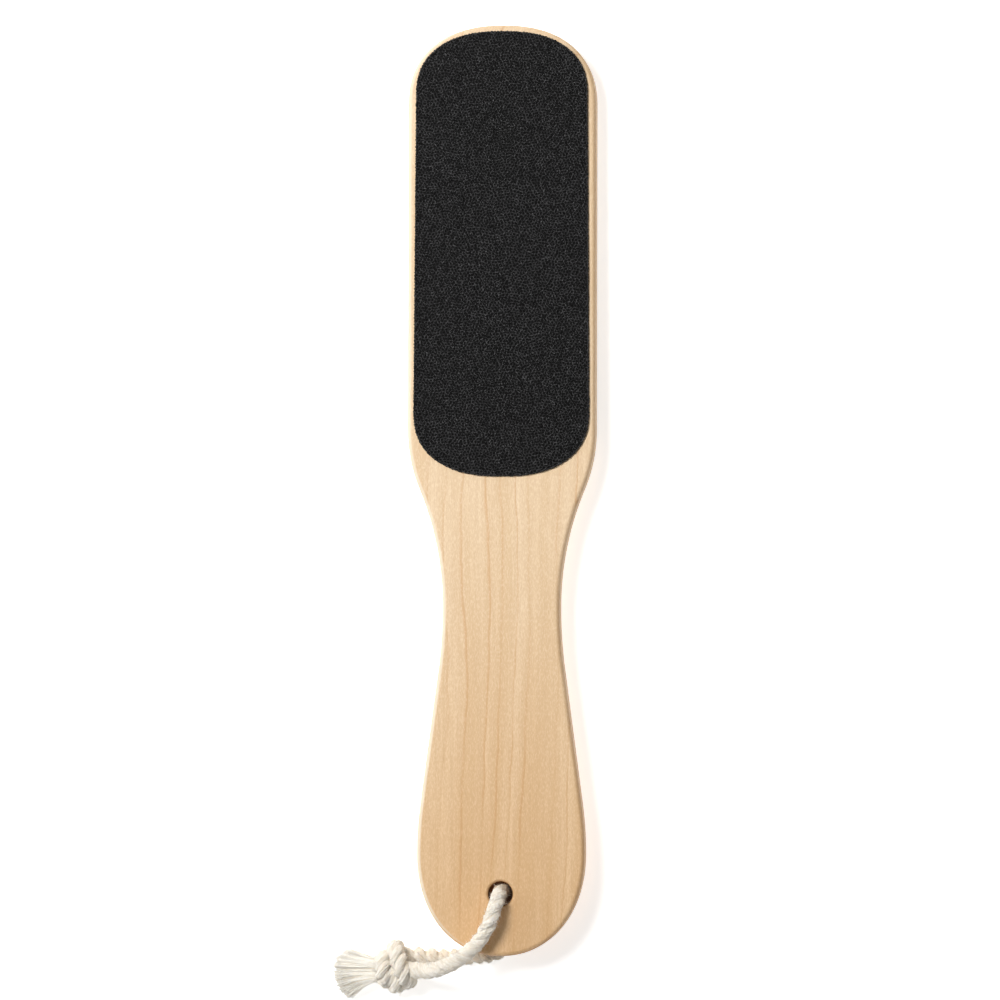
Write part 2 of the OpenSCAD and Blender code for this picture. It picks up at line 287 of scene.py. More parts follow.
def maple_edges(f, colour, from_hole, pores):
    """Edges that face left get a painted highlight and edges that face right get painted shade, but not in
    the hole. Cut ends drink more oil, and the handle's end is darker still as painted shade.
    """
    facing_x, facing_y, _ = f.parts(f.add("NewGeometry", output="Normal"))
    outside = f.band(from_hole, 5, 7)
    # Painted highlight on edges that face left, painted shade on edges that face right
    painted_highlight = f.times(f.band(facing_x, -0.03, -0.4, 0, 0.85), outside)
    painted_highlight = f.times(painted_highlight, f.band(facing_y, -0.65, -0.15))
    painted_shade = f.times(f.band(facing_x, 0.2, 0.8), outside)
    colour = f.mix(painted_highlight, colour, rgb(231, 216, 192))
    colour = f.mix(painted_shade, colour, rgb(229, 221, 212), blend="MULTIPLY")
    # Cut ends are darker as end grain, and the handle's end more so as painted shade
    handle_end, blade_end = f.band(facing_y, -0.3, -0.98), f.band(facing_y, 0.3, 0.98, 0, 0.3)
    end_grain_and_shade = f.times(f.maths("MAXIMUM", handle_end, blade_end), f.band(pores, 0.3, 0.7, 0.35, 0.7))
    return f.mix(end_grain_and_shade, colour, rgb(194, 150, 108))


def wood_finish():
    f = Finish("pale_maple", IOR=1.46, Specular_IOR_Level=0.45)
    here = f.places()
    fibre = f.noise(f.scaled(here, (2.6, 0.06, 2.6)), detail=3, rough=0.6)
    fleck = f.band(f.noise(f.scaled(here, (3.4, 0.42, 3.4)), detail=1), 0.64, 0.78)
    pores = f.noise(f.scaled(here, (3.2, 3.2, 3.2)))
    from_hole = f.from_hole(here)
    colour = maple_edges(f, maple_face(f, here, fibre, fleck), from_hole, pores)

    # The hole's rim is a little browner. Its wall is dark brown, partly burnt by the drill and partly painted
    # shade in the deep bore.
    browned = f.band(from_hole, 3.8, 3.5)
    burn_and_shade = f.band(from_hole, 3.52, 3.36)
    colour = f.mix(f.times(browned, 0.4), colour, rgb(176, 128, 82))
    colour = f.mix(burn_and_shade, colour, f.mix(f.band(pores, 0.35, 0.65), rgb(104, 60, 26), rgb(138, 86, 42)))

    rough = f.maths("ADD", f.band(fibre, 0.3, 0.7, 0.46, 0.6), f.times(browned, 0.4), clamp=True)
    normal = f.bump(fibre, 0.02, strength=0.5)
    normal = f.bump(fleck, -0.03, normal, strength=0.4)
    return f.finish(colour, rough, normal)


def grit_finish(name, dark, pale, grain):
    """Resin-coated grains: grain is the size of one, in millimetres. The lay map says how pale each is, with
    painted shade at the grains' feet.
    """
    f = Finish(name, IOR=1.5, Specular_IOR_Level=0.05)
    here = f.places()
    paleness, _, _ = f.parts(f.lay_map())
    fine = f.noise(here, scale=4 / grain, detail=3, rough=0.65)
    wide = f.noise(here, scale=0.05)
    colour = f.mix(paleness, dark, pale)
    colour = f.mix(f.band(fine, 0.45, 0.7, 0, 0.3), colour, dark)
    colour = f.mix(f.band(wide, 0.3, 0.7, 0, 0.1), colour, rgb(30, 29, 28))
    return f.finish(colour, f.band(fine, 0.3, 0.7, 0.42, 0.7), f.bump(fine, 0.05, strength=0.6))


def cloth_finish():
    """The sheets' backing: a dark woven cloth, full of resin."""
    f = Finish("backing_cloth", IOR=1.5)
    here = f.places()
    wave = {"Vector": here, "Scale": 0.62, "Distortion": 0.6, "Detail": 1}
    warp = f.add("TexWave", wave, output="Fac", bands_direction="X")
    weft = f.add("TexWave", wave, output="Fac", bands_direction="Y")
    weave = f.maths("MAXIMUM", warp, weft)
    blot = f.noise(here, scale=0.4, detail=3)
    colour = f.mix(weave, rgb(30, 25, 21), rgb(66, 57, 48))
    colour = f.mix(f.band(blot, 0.35, 0.7, 0, 0.5), colour, rgb(40, 36, 33))
    return f.finish(colour, f.band(blot, 0.3, 0.7, 0.6, 0.85), f.bump(weave, 0.05, strength=0.7))


def glue_finish():
    f = Finish("contact_glue", IOR=1.48, Specular_IOR_Level=0.6)
    flow = f.noise(f.places(), scale=0.9, detail=3)
    colour = f.mix(flow, rgb(178, 160, 118), rgb(222, 209, 168))
    return f.finish(colour, f.band(flow, 0.3, 0.7, 0.2, 0.45), f.bump(flow, 0.04))


def loose_cotton_finish():
    """The combed-out ends, lighter than the rope because they are new inside.

    The lay map says how far out of the tassel's gaps each place lies, and the gaps are painted tan as shade.
    """
    f = Finish("loose_cotton", IOR=1.45, Specular_IOR_Level=0.2, Sheen_Weight=0.4, Sheen_Roughness=0.5)
    here = f.places()
    tone, _, _ = f.parts(f.lay_map())
    fibres = f.noise(f.scaled(here, (0.5, 3.5, 3.5)), detail=3, rough=0.6)
    blot = f.noise(here, scale=0.5)
    colour = f.mix(f.band(fibres, 0.35, 0.65), rgb(253, 248, 236), rgb(255, 253, 247))
    # Painted shade: tan in the gaps between locks
    colour = f.mix(f.band(tone, 0.6, 0, 0, 0.75), colour, rgb(226, 207, 174))
    colour = f.mix(f.band(blot, 0.4, 0.7, 0, 0.3), colour, rgb(250, 242, 226))
    return f.finish(colour, f.band(fibres, 0.3, 0.7, 0.75, 0.92), f.bump(fibres, 0.04, strength=0.6))


def clean_cotton(f, here, fibres, nap):
    """Fibres, yarns and nap, darker in the grooves between strands, and a few neps."""
    lay = f.lay_map()
    yarns = f.noise(f.scaled(lay, (5, 0.3, 1)))
    blot = f.noise(here, scale=0.35)
    neps = f.band(f.noise(here, scale=2.6, detail=1), 0.7, 0.8)
    strands_across, _, _ = f.parts(lay)
    from_crest = f.maths("ABSOLUTE", f.maths("SUBTRACT", f.maths("FRACT", strands_across), 0.5))
    groove = f.times(f.band(from_crest, 0.4, 0.5), f.band(blot, 0.35, 0.65))
    colour = f.mix(f.band(fibres, 0.3, 0.7), rgb(238, 231, 219), rgb(248, 244, 236))
    colour = f.mix(f.band(yarns, 0.45, 0.6, 0, 0.5), colour, rgb(226, 215, 196))
    colour = f.mix(f.band(nap, 0.45, 0.62, 0, 0.55), colour, rgb(226, 215, 196))
    colour = f.mix(f.times(groove, 0.4), colour, rgb(218, 200, 170))
    colour = f.mix(f.band(blot, 0.4, 0.7, 0, 0.3), colour, rgb(246, 239, 225))
    return f.mix(f.times(neps, 0.25), colour, rgb(205, 188, 158))


def cotton_finish():
    """Unbleached cotton. The lay map counts strands across and millimetres along."""
    f = Finish("cotton_rope", IOR=1.45, Specular_IOR_Level=0.2, Sheen_Weight=0.6, Sheen_Roughness=0.55,
               Sheen_Tint=(1, 0.97, 0.92, 1), Subsurface_Weight=0.3, Subsurface_Radius=(1, 0.9, 0.75),
               Subsurface_Scale=0.0007)
    here = f.places()
    fibres = f.noise(f.scaled(f.lay_map(), (30, 0.6, 1)), detail=3, rough=0.65)
    nap = f.noise(here, scale=1.7, detail=5, rough=0.75)
    colour = clean_cotton(f, here, fibres, nap)

    # Painted shade: what lies low is a little darker, the rope is warmer and darker near the hole's mouth,
    # and darker still inside the hole
    _, _, height = f.parts(here)
    colour = f.mix(f.band(height, 7, 2.5, 0, 0.4), colour, rgb(238, 229, 216), blend="MULTIPLY")
    from_mouth = f.distance(here, (0, HOLE_REST_Y, 10))
    colour = f.mix(f.band(from_mouth, 6.5, 3.5, 0, 0.8), colour, rgb(226, 202, 168), blend="MULTIPLY")
    painted_hole_shade = f.times(f.band(f.from_hole(here), 5.2, 4.2), f.band(height, 10.5, 8))
    colour = f.mix(painted_hole_shade, colour, rgb(140, 102, 68), blend="MULTIPLY")
    normal = f.bump(fibres, 0.07, strength=0.9)
    normal = f.bump(nap, 0.24, normal, strength=0.75)
    return f.finish(colour, f.band(fibres, 0.3, 0.7, 0.75, 0.92), normal)


def floor_finish():
    """A floor that glows a little, as painted light, so that shadows stay faint on it. It doesn't glow near
    the hole, and under the hole it is painted dark brown as shade.
    """
    f = Finish("pale_floor", IOR=1.4, Specular_IOR_Level=0.2, Emission_Color=(1, 1, 1, 1))
    here = f.places()
    from_hole = f.distance(here, (0, HOLE_REST_Y, 0))
    f.feed(f.shader.inputs["Emission Strength"], f.band(from_hole, 9, 15, 0, 0.62))
    grain = f.noise(here, scale=0.6, detail=3)
    wide = f.noise(here, scale=0.004)
    colour = f.mix(f.band(grain, 0.3, 0.7, 0, 0.3), rgb(250, 250, 249), rgb(247, 247, 246))
    colour = f.mix(f.band(wide, 0.3, 0.7, 0, 0.3), colour, rgb(248, 248, 248))
    # Painted shade: a dark brown patch under the hole
    colour = f.mix(f.band(from_hole, 5.5, 4.3), colour, rgb(104, 72, 46))
    return f.finish(colour, f.band(grain, 0.3, 0.7, 0.7, 0.8))


# Meshes
def resting(points):
    """Points of the paddle's own frame, moved to where the paddle lies."""
    x, y, z = np.asarray(points, dtype=float).T
    s, c = math.sin(REST_TILT), math.cos(REST_TILT)
    return np.stack([x, y * c + z * s, REST_LIFT - y * s + z * c], axis=1)


def beside_hole(points):
    """Points given from the hole's axis, moved to where the hole lies."""
    return np.asarray(points, dtype=float) + (0, HOLE_REST_Y, 0)


def make_piece(name, points, faces, finish, body=None, replaced=(), normals=None, lay=None,
               smooth=True):
    """A mesh from points in millimetres. With a body, it rides on it and stands in for the replaced nodes."""
    mesh = bpy.data.meshes.new(name)
    places = [tuple(p) for p in np.asarray(points) * MM]
    mesh.from_pydata(places, [], [tuple(int(i) for i in face) for face in faces])
    mesh.materials.append(finish)
    mesh.polygons.foreach_set("use_smooth", [smooth] * len(mesh.polygons))
    if lay is not None:
        corners = np.empty(len(mesh.loops), dtype=np.int32)
        mesh.loops.foreach_get("vertex_index", corners)
        layer = mesh.uv_layers.new(name="lay")
        layer.data.foreach_set("uv", np.asarray(lay, dtype=np.float32)[corners].ravel())
    mesh.update()
    if normals is not None:
        mesh.normals_split_custom_set_from_vertices([tuple(n) for n in normals])
    piece = bpy.data.objects.new(name, mesh)
    bpy.context.scene.collection.objects.link(piece)
    if body:
        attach(piece, body)
        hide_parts(*replaced)
    return piece


def bands(ring_starts, sides):
    """Quads between rings of points that start at the given numbers."""
    pairs = zip(ring_starts, ring_starts[1:])
    return [(a + j, a + (j + 1) % sides, b + (j + 1) % sides, b + j) for a, b in pairs for j in range(sides)]


# The paddle
def round_end(half_w, end_l, power, steps):
    """A quarter of a rounded end, from its widest place to its tip."""
    turn = np.radians(np.linspace(0, 90, steps + 1))[:, None]
    return np.hstack([half_w * np.cos(turn).clip(0) ** (2 / power), end_l * np.sin(turn) ** (2 / power)])


def s_curve(drop, length, turn_share, first_arc_share, steps):
    """Two arcs that swing sideways by a drop. A turn share of 1 leaves no straight stretch between them."""
    radii = turn_share * (length ** 2 + drop ** 2) / (2 * drop)
    straight = math.sqrt(max(0, length ** 2 - 2 * radii * drop + drop ** 2))
    turn = math.atan2(length, radii - drop) - math.atan2(straight, radii)
    first_r = first_arc_share * radii
    last_r = radii - first_r
    a = np.linspace(0, turn, steps + 1)[:, None]
    first = np.hstack([first_r * (1 - np.cos(a)), first_r * np.sin(a)])
    a = a[::-1]
    last = np.hstack([drop - last_r * (1 - np.cos(a)), length - last_r * np.sin(a)])
    return np.vstack([first, last])


def lengths_along(line):
    return np.concatenate([[0], np.cumsum(np.linalg.norm(np.diff(line, axis=0), axis=1))])


def spread(points, step):
    """The same line with its points set evenly, about a step apart."""
    same_place = 1e-9
    along = lengths_along(points)
    keep = np.concatenate([[True], np.diff(along) > same_place])
    places = np.linspace(0, along[-1], max(2, int(round(along[-1] / step)) + 1))
    return np.stack([np.interp(places, along[keep], points[keep, k]) for k in range(points.shape[1])], axis=1)


def whole_outline(right_side):
    return np.vstack([right_side, right_side[-2:0:-1] * (-1, 1)])


def paddle_side():
    """The right side of the paddle's outline, from the handle's end to the blade's tip."""
    foot = round_end(HANDLE_W / 2, HANDLE_END_L, HANDLE_END_POWER, END_STEPS)[::-1] * (1, -1) + (0, GRIP_Y)
    grip_drop = (HANDLE_W - WAIST_W) / 2
    grip = s_curve(grip_drop, WAIST_Y - GRIP_Y, GRIP_TURN, GRIP_FIRST_ARC, CURVE_STEPS) * (-1, 1)
    shoulder_drop = (BLADE_W - WAIST_W) / 2
    shoulder = s_curve(shoulder_drop, SHOULDER_L, SHOULDER_TURN, SHOULDER_FIRST_ARC, CURVE_STEPS)
    head = round_end(BLADE_W / 2, BLADE_END_L, BLADE_END_POWER, END_STEPS) + (0, TIP_Y - BLADE_END_L)
    return np.vstack([foot, grip + (HANDLE_W / 2, GRIP_Y), shoulder + (WAIST_W / 2, WAIST_Y), head])


def sheet_side():
    """The right side of a sheet's outline, from its foot to its tip."""
    foot = round_end(SHEET_FOOT_W / 2, SHEET_END_L, SHEET_END_POWER, SHEET_END_STEPS)[::-1] * (1, -1)
    head = round_end(SHEET_TIP_W / 2, SHEET_END_L, SHEET_END_POWER, SHEET_END_STEPS)
    side = np.vstack([foot + (0, SHEET_END_L - SHEET_L / 2), head + (0, SHEET_L / 2 - SHEET_END_L)])
    return side + (0, SHEET_Y)


def outward(outline):
    """Unit normals of a closed outline whose points are counted to the left."""
    along = np.roll(outline, -1, axis=0) - np.roll(outline, 1, axis=0)
    along /= np.linalg.norm(along, axis=1)[:, None]
    return np.stack([along[:, 1], -along[:, 0]], axis=1)


def at_level(outline, z):
    return np.column_stack([outline, np.full(len(outline), z)])


def flat_fill(outer, inner, first_outer, first_inner, up):
    """Triangles between an outline and the ring of a hole in it."""
    loops = [[Vector((x, y, 0)) for x, y in ring] for ring in (outer, inner)]
    number = [first_outer + i for i in range(len(outer))] + [first_inner + i for i in range(len(inner))]
    place = np.vstack([outer, inner])
    faces = []
    for a, b, c in tessellate_polygon(loops):
        (ax, ay), (bx, by), (cx, cy) = place[a], place[b], place[c]
        left = (bx - ax) * (cy - ay) - (by - ay) * (cx - ax) > 0
        faces.append([number[i] for i in ((a, b, c) if left == up else (a, c, b))])
    return faces


def edge_profile():
    """Level, inset and rise of the edge's rings, from the back face round to the front one."""
    rises = [math.radians(90) * i / EDGE_STEPS for i in range(EDGE_STEPS + 1)]
    front = [(HALF_T - EDGE_R * (1 - math.sin(a)), EDGE_R * (1 - math.cos(a)), a) for a in rises]
    return [(-level, inset, -rise) for level, inset, rise in front[::-1]] + front


def hole_profile():
    """Radius, level and rise of the hole's rings, down its rim, through its bore and out of the other rim."""
    middle_r, middle_z = HOLE_D / 2 + HOLE_RIM_R, HALF_T - HOLE_RIM_R
    turn = math.radians(RIM_TURN)
    lip_r, lip_z = middle_r - HOLE_RIM_R * math.cos(turn), middle_z + HOLE_RIM_R * math.sin(turn)
    mouth_r = lip_r + (HALF_T - lip_z) * math.sin(turn) / math.cos(turn)
    front = [(mouth_r, HALF_T, math.radians(90))]
    for i in range(RIM_STEPS + 1):
        a = turn * (1 - i / RIM_STEPS)
        front.append((middle_r - HOLE_RIM_R * math.cos(a), middle_z + HOLE_RIM_R * math.sin(a), a))
    return front + [(r, -z, -a) for r, z, a in front[::-1]]


def make_paddle():
    outline = whole_outline(spread(paddle_side(), OUTLINE_STEP))
    out = outward(outline)
    n = len(outline)
    points, normals = [], []
    for level, inset, rise in edge_profile():
        points.append(at_level(outline - out * inset, level))
        normals.append(at_level(out * math.cos(rise), math.sin(rise)))
    edge_starts = [i * n for i in range(len(points))]
    back_edge, front_edge = points[0][:, :2], points[-1][:, :2]

    profile = hole_profile()
    turn = np.radians(np.arange(HOLE_SIDES) * 360 / HOLE_SIDES)
    spokes = np.stack([np.cos(turn), np.sin(turn)], axis=1)
    hole_starts = [len(points) * n + i * HOLE_SIDES for i in range(len(profile))]
    for r, z, a in profile:
        points.append(at_level(spokes * r + (0, HOLE_Y), z))
        normals.append(at_level(-spokes * math.cos(a), math.sin(a)))
    mouth_r = profile[0][0]
    mouth = spokes * mouth_r + (0, HOLE_Y)

    faces = bands(edge_starts, n) + bands(hole_starts, HOLE_SIDES)
    faces += flat_fill(front_edge, mouth, edge_starts[-1], hole_starts[0], True)
    faces += flat_fill(back_edge, mouth, edge_starts[0], hole_starts[-1], False)
    normals = resting(np.vstack(normals)) - resting([(0, 0, 0)])
    return make_piece("wooden_paddle_body", resting(np.vstack(points)), faces, wood, "paddle",
                      ["wooden_paddle"], normals)


# The abrasive sheets
def pits_of_grit(spacing, random):
    """Rows of the pits that lie between the grains. The rows wander, and so does each pit."""
    row_gap = spacing * math.sqrt(3) / 2
    row, column = np.mgrid[0:int(SHEET_L / row_gap) + 2, 0:int(BLADE_W / spacing) + 2]
    x = column * spacing + (row % 2) * spacing / 2 - BLADE_W / 2
    y = SHEET_Y - SHEET_L / 2 + row_gap * (row - 0.5)
    pits = np.stack([x, y], axis=2)
    wander = 0.3 * np.sin(pits[:, :, ::-1] * (0.9, 0.7))
    return pits + wander + random.normal(0, 0.145 * spacing, pits.shape)


def grains_between(pits):
    """Middle and direction of a grain between each two pits that are neighbours."""
    low, high = pits[:-1], pits[1:]
    odd = (np.arange(len(low)) % 2 == 1)[:, None, None]
    pairs = [(pits[:, :-1], pits[:, 1:]), (low, high),
             (np.where(odd, low[:, :-1], low[:, 1:]), np.where(odd, high[:, 1:], high[:, :-1]))]
    first = np.vstack([a.reshape(-1, 2) for a, _ in pairs])
    second = np.vstack([b.reshape(-1, 2) for _, b in pairs])
    return (first + second) / 2, second - first


def resin_slab(outline, base_top, spacing, random):
    """The resin, and its edge where grains stand out over the cut, about one tooth to each grain."""
    tooth, tooth_swing, tooth_drift = 0.13, 2.5, 0.078
    n = len(outline)
    along = np.arange(n) * GRIT_EDGE_STEP
    teeth = tooth * np.sin(along * 2 * math.pi / spacing + tooth_swing * np.sin(along * tooth_drift))
    ragged = outline + outward(outline) * (teeth + random.normal(0.02, 0.06, n))[:, None]
    caps = [range(n)[::-1], range(n, 2 * n)]
    return np.vstack([at_level(outline, GRIT_Z), at_level(ragged, base_top)]), bands([0, n], n) + caps


def grain_places(outline, spacing, random):
    """Middle and direction of each grain on a sheet, with a row of grains along its rim."""
    clear_share, rim_share = 0.4, 0.2
    middle, across = grains_between(pits_of_grit(spacing, random))
    side = sheet_side()
    half_w = np.interp(middle[:, 1], side[:, 1], side[:, 0], left=0, right=0)
    inside = np.abs(middle[:, 0]) < half_w
    middle, across = middle[inside], across[inside]
    to_edge = np.array([np.min(np.linalg.norm(outline - m, axis=1)) for m in middle])
    inside = to_edge > clear_share * spacing
    rim = outline[::2]
    rim_out = outward(rim)
    rim = rim - rim_out * (rim_share * spacing + random.normal(0, 0.04, len(rim)))[:, None]
    return np.vstack([middle[inside], rim]), np.vstack([across[inside], rim_out])


def grain_blocks(middle, across, spacing, base_top, grain_top, random):
    """Six corners of each grain, like those of a hip roof, and how pale each corner is, with painted shade at
    the feet.
    """
    half_l_share, half_w_share, ridge_share = 0.3, 0.22, 0.6
    sunk, painted_foot_shade = 0.03, 0.04
    count = len(middle)
    across = across / np.linalg.norm(across, axis=1)[:, None]
    turn = random.normal(0, 0.25, count)
    across = np.stack([across[:, 0] * np.cos(turn) - across[:, 1] * np.sin(turn),
                       across[:, 0] * np.sin(turn) + across[:, 1] * np.cos(turn)], axis=1)
    along = np.stack([-across[:, 1], across[:, 0]], axis=1)
    half_l = spacing * half_l_share * random.uniform(0.75, 1.2, (count, 1))
    half_w = spacing * half_w_share * random.uniform(0.7, 1.3, (count, 1))
    height = (grain_top - base_top) * np.clip(random.normal(0.8, 0.2, (count, 2)), 0.3, 1)
    tone = np.clip(random.normal(0.74, 0.22, (count, 1)), 0.1, 1.5)

    block = np.empty((count, 6, 3))
    for k, (a, b) in enumerate(((-1, -1), (1, -1), (1, 1), (-1, 1))):
        block[:, k, :2] = middle + a * half_l * along + b * half_w * across
    block[:, :4, 2] = base_top - sunk
    for k, a in ((4, -1), (5, 1)):
        lean = random.normal(0, 0.3, (count, 1))
        block[:, k, :2] = middle + a * ridge_share * half_l * along + lean * half_w * across
    block[:, 4:, 2] = base_top + height
    # Painted shade: a grain's four feet are nearly as dark as the resin, its ridge pale
    tones = np.hstack([np.repeat(painted_foot_shade * tone, 4, axis=1), tone * random.uniform(0.6, 1.1, (count, 2))])
    return block.reshape(-1, 3), tones.ravel()


def make_grit(name, node, finish, front, coat_t, spacing, base_share, seed):
    """A slab of resin with a ragged edge, and the long grains that stand in it round small pits."""
    random = np.random.default_rng(seed)
    base_top, grain_top = GRIT_Z + coat_t * base_share, GRIT_Z + coat_t
    outline = whole_outline(spread(sheet_side(), GRIT_EDGE_STEP))
    slab, faces = resin_slab(outline, base_top, spacing, random)
    middle, across = grain_places(outline, spacing, random)
    corners, tones = grain_blocks(middle, across, spacing, base_top, grain_top, random)
    roof = np.array([(0, 1, 5), (0, 5, 4), (2, 3, 4), (2, 4, 5), (1, 2, 5), (3, 0, 4)])
    first = len(slab) + np.arange(len(middle)) * 6
    faces += (roof[None] + first[:, None, None]).reshape(-1, 3).tolist()
    points = np.vstack([slab, corners])
    lay = np.zeros((len(points), 2))
    lay[len(slab):, 0] = tones
    if not front:
        points = points * (-1, 1, -1)
    return make_piece(name, resting(points), faces, finish, "paddle", [node], lay=lay, smooth=False)


# The rope
THIRD_TURN = 2 * math.pi / 3
# The side on which strands under pull stand apart like beads
BEAD_SIDE = np.array((0, 0.95, 0.3))
# Least heights above the floor
ROPE_LOW, HAIR_LOW, TASSEL_LOW = 0.03, 0.1, 0.15


def curve_through(points, step):
    """A smooth line through the points, with its own points a step apart."""
    steps_per_span = 24
    points = np.asarray(points, dtype=float)
    ends = np.vstack([2 * points[0] - points[1], points, 2 * points[-1] - points[-2]])
    line = []
    for a, b, c, d in zip(ends, ends[1:], ends[2:], ends[3:]):
        for t in np.linspace(0, 1, steps_per_span, endpoint=False):
            line.append(0.5 * (2 * b + (c - a) * t + (2 * a - 5 * b + 4 * c - d) * t ** 2
                               + (3 * b - a - 3 * c + d) * t ** 3))
    line.append(points[-1])
    return spread(np.array(line), step)


def frames_along(line, start):
    """Unit directions of a line, and two more square to them that turn as little as they can."""
    heading = np.gradient(line, axis=0)
    heading /= np.linalg.norm(heading, axis=1)[:, None]
    side = np.empty_like(line)
    last = np.asarray(start, dtype=float)
    for i, h in enumerate(heading):
        last = last - last.dot(h) * h
        last /= np.linalg.norm(last)
        side[i] = last
    return heading, side, np.cross(heading, side)


def strand_reach(local, strand_r, ring_r):
    """Distance from the rope's axis to the outside of a strand, at an angle from the strand's own middle."""
    least = 0.01
    return ring_r * np.cos(local) + np.sqrt(np.maximum(strand_r ** 2 - (ring_r * np.sin(local)) ** 2, least))


def strand_turns(line, along, pitch, side, up, crests):
    """How far the strands have turned at each point, with one facing straight up at each crest."""
    turn = 2 * math.pi * np.concatenate([[0], np.cumsum(np.diff(along) / pitch[1:])])
    at = [int(np.argmin(np.linalg.norm(line - c, axis=1))) for c in crests]
    shifts = []
    for i in at:
        shift = math.atan2(up[i, 2], side[i, 2]) - THIRD_TURN / 2 - turn[i]
        if shifts:
            shift -= THIRD_TURN * round((shift - shifts[-1]) / THIRD_TURN)
        shifts.append(shift)
    return turn + np.interp(along, along[at], shifts)


def yarn_ridges(local, strand, along, random):
    """Yarns run along each strand, as ridges that swell and fade."""
    waves = np.zeros((len(along), len(local)))
    for count, weight in ((3, 1), (5, 1), (8, 1), (11, 0.7)):
        start_at = random.random(3) * 2 * math.pi
        drift = random.normal(0, 0.5, 3)
        fade = 0.55 + 0.45 * np.sin(along * random.uniform(0.8, 2.2) + random.random() * 6)[:, None]
        phase = count * local[None] * 3 + start_at[strand] + drift[strand] * along[:, None]
        waves += weight * fade * np.sin(phase)
    return waves


def kept_by_beads(angle, turn, side, up, beads):
    """The share of its radius that each point keeps where strands stand apart like beads."""
    toward = np.arctan2(up @ BEAD_SIDE, side @ BEAD_SIDE)
    notch = ((1 - np.cos(3 * (turn + THIRD_TURN / 2 - toward))) / 2) ** 3
    facing = np.cos(angle - toward[:, None]).clip(0) ** 0.5
    return 1 - (beads * notch)[:, None] * facing


def noise_at(points, *waves):
    """Smooth noise at each point. Each wave is a size and a number of swells to the millimetre."""
    flat = [Vector(p) for p in points.reshape(-1, 3).tolist()]
    total = sum(size * np.array([noise.noise(p * rate) for p in flat]) for size, rate in waves)
    return total.reshape(points.shape[:-1])


def laid_rope(line, diameter, pitch, crests, strand_share, random, start=(1, 0, 0), ridge=0.07, beads=0):
    """Rings of points and lay map of three strands, laid right-handed round a line.

    Diameter, pitch, strand_share (a strand's radius over the rope's diameter) and beads are one value each
    or one for each point of the line. At each place in crests, the middle of a strand faces straight up.
    Ridge is the height of a yarn. Beads is how far the side that faces BEAD_SIDE draws in between the
    strands, as a share of the radius.
    """
    _, side, up = frames_along(line, start)
    along = lengths_along(line)
    diameter, pitch, strand_share = (np.broadcast_to(v, along.shape) for v in (diameter, pitch, strand_share))
    turn = strand_turns(line, along, pitch, side, up, crests)
    sides = 3 * STRAND_SIDES
    column = np.arange(sides)
    local = ((column + 0.5) % STRAND_SIDES / STRAND_SIDES - 0.5) * THIRD_TURN
    strand_r = (strand_share * diameter)[:, None]
    reach = strand_reach(local[None], strand_r, diameter[:, None] / 2 - strand_r)
    angle = turn[:, None] + (column + 0.5)[None] * 2 * math.pi / sides
    waves = yarn_ridges(local, (column // STRAND_SIDES)[None], along, random)
    radius = reach + ridge * waves * np.cos(local * 1.5)[None]
    plump = 1 + 0.02 * np.sin(along * 1.3 + random.random() * 6) + 0.015 * np.sin(along * 2.9 + 1)
    radius = radius * plump[:, None]
    radius = radius * kept_by_beads(angle, turn, side, up, beads)
    out = np.cos(angle)[:, :, None] * side[:, None] + np.sin(angle)[:, :, None] * up[:, None]
    points = line[:, None] + radius[:, :, None] * out
    # Loose fibres make the surface uneven from place to place
    points = points + noise_at(points, (0.16, 0.8), (0.2, 1.6), (0.12, 3.2))[:, :, None] * out
    points[:, :, 2] = np.maximum(points[:, :, 2], ROPE_LOW)
    return points, lay_of(points, (column + 0.5)[None] / STRAND_SIDES, along[:, None])


def lay_of(rings, across, along):
    """The lay map of rings of points, from two values that spread over them."""
    lay = np.empty(rings.shape[:2] + (2,))
    lay[:, :, 0], lay[:, :, 1] = across, along
    return lay


def thread_rings(line, start, radius, turn=0):
    """Rings of three points round a thin thread."""
    _, side, up = frames_along(line, start)
    a = np.radians(np.arange(3) * 360 / 3 + turn)
    spokes = np.cos(a)[None, :, None] * side[:, None] + np.sin(a)[None, :, None] * up[:, None]
    return line[:, None] + radius[:, None, None] * spokes


def hairs(rings, lay, count, random, longest=1.1):
    """Fine fibres that stand out of a rope's surface."""
    sunk = 0.06
    parts = []
    middle = rings.mean(axis=1)
    for _ in range(count):
        i, j = random.integers(1, len(rings) - 1), random.integers(rings.shape[1])
        root = rings[i, j]
        out = (root - middle[i]) / np.linalg.norm(root - middle[i])
        along = rings[i + 1, j] - rings[i - 1, j]
        along /= np.linalg.norm(along)
        sweep = along * random.normal(0, 1) + np.cross(out, along) * random.normal(0, 0.6)
        length = random.uniform(0.35, longest)
        tip = root + length * (out * random.uniform(0.25, 0.9) + sweep * 0.6)
        bend = root + length * 0.5 * (out * random.uniform(0.5, 0.9) + sweep * 0.2)
        line = np.array([root - out * sunk, 0.25 * root + 0.5 * bend + 0.25 * tip, tip])
        line[:, 2] = np.maximum(line[:, 2], HAIR_LOW)
        radius = random.uniform(0.025, 0.06) * np.array([1, 0.9, 0.5])
        strand = thread_rings(line, np.cross(out, along), radius)
        parts.append(rope_mesh(strand, np.broadcast_to(lay[i, j], (3, 3, 2))))
    return parts


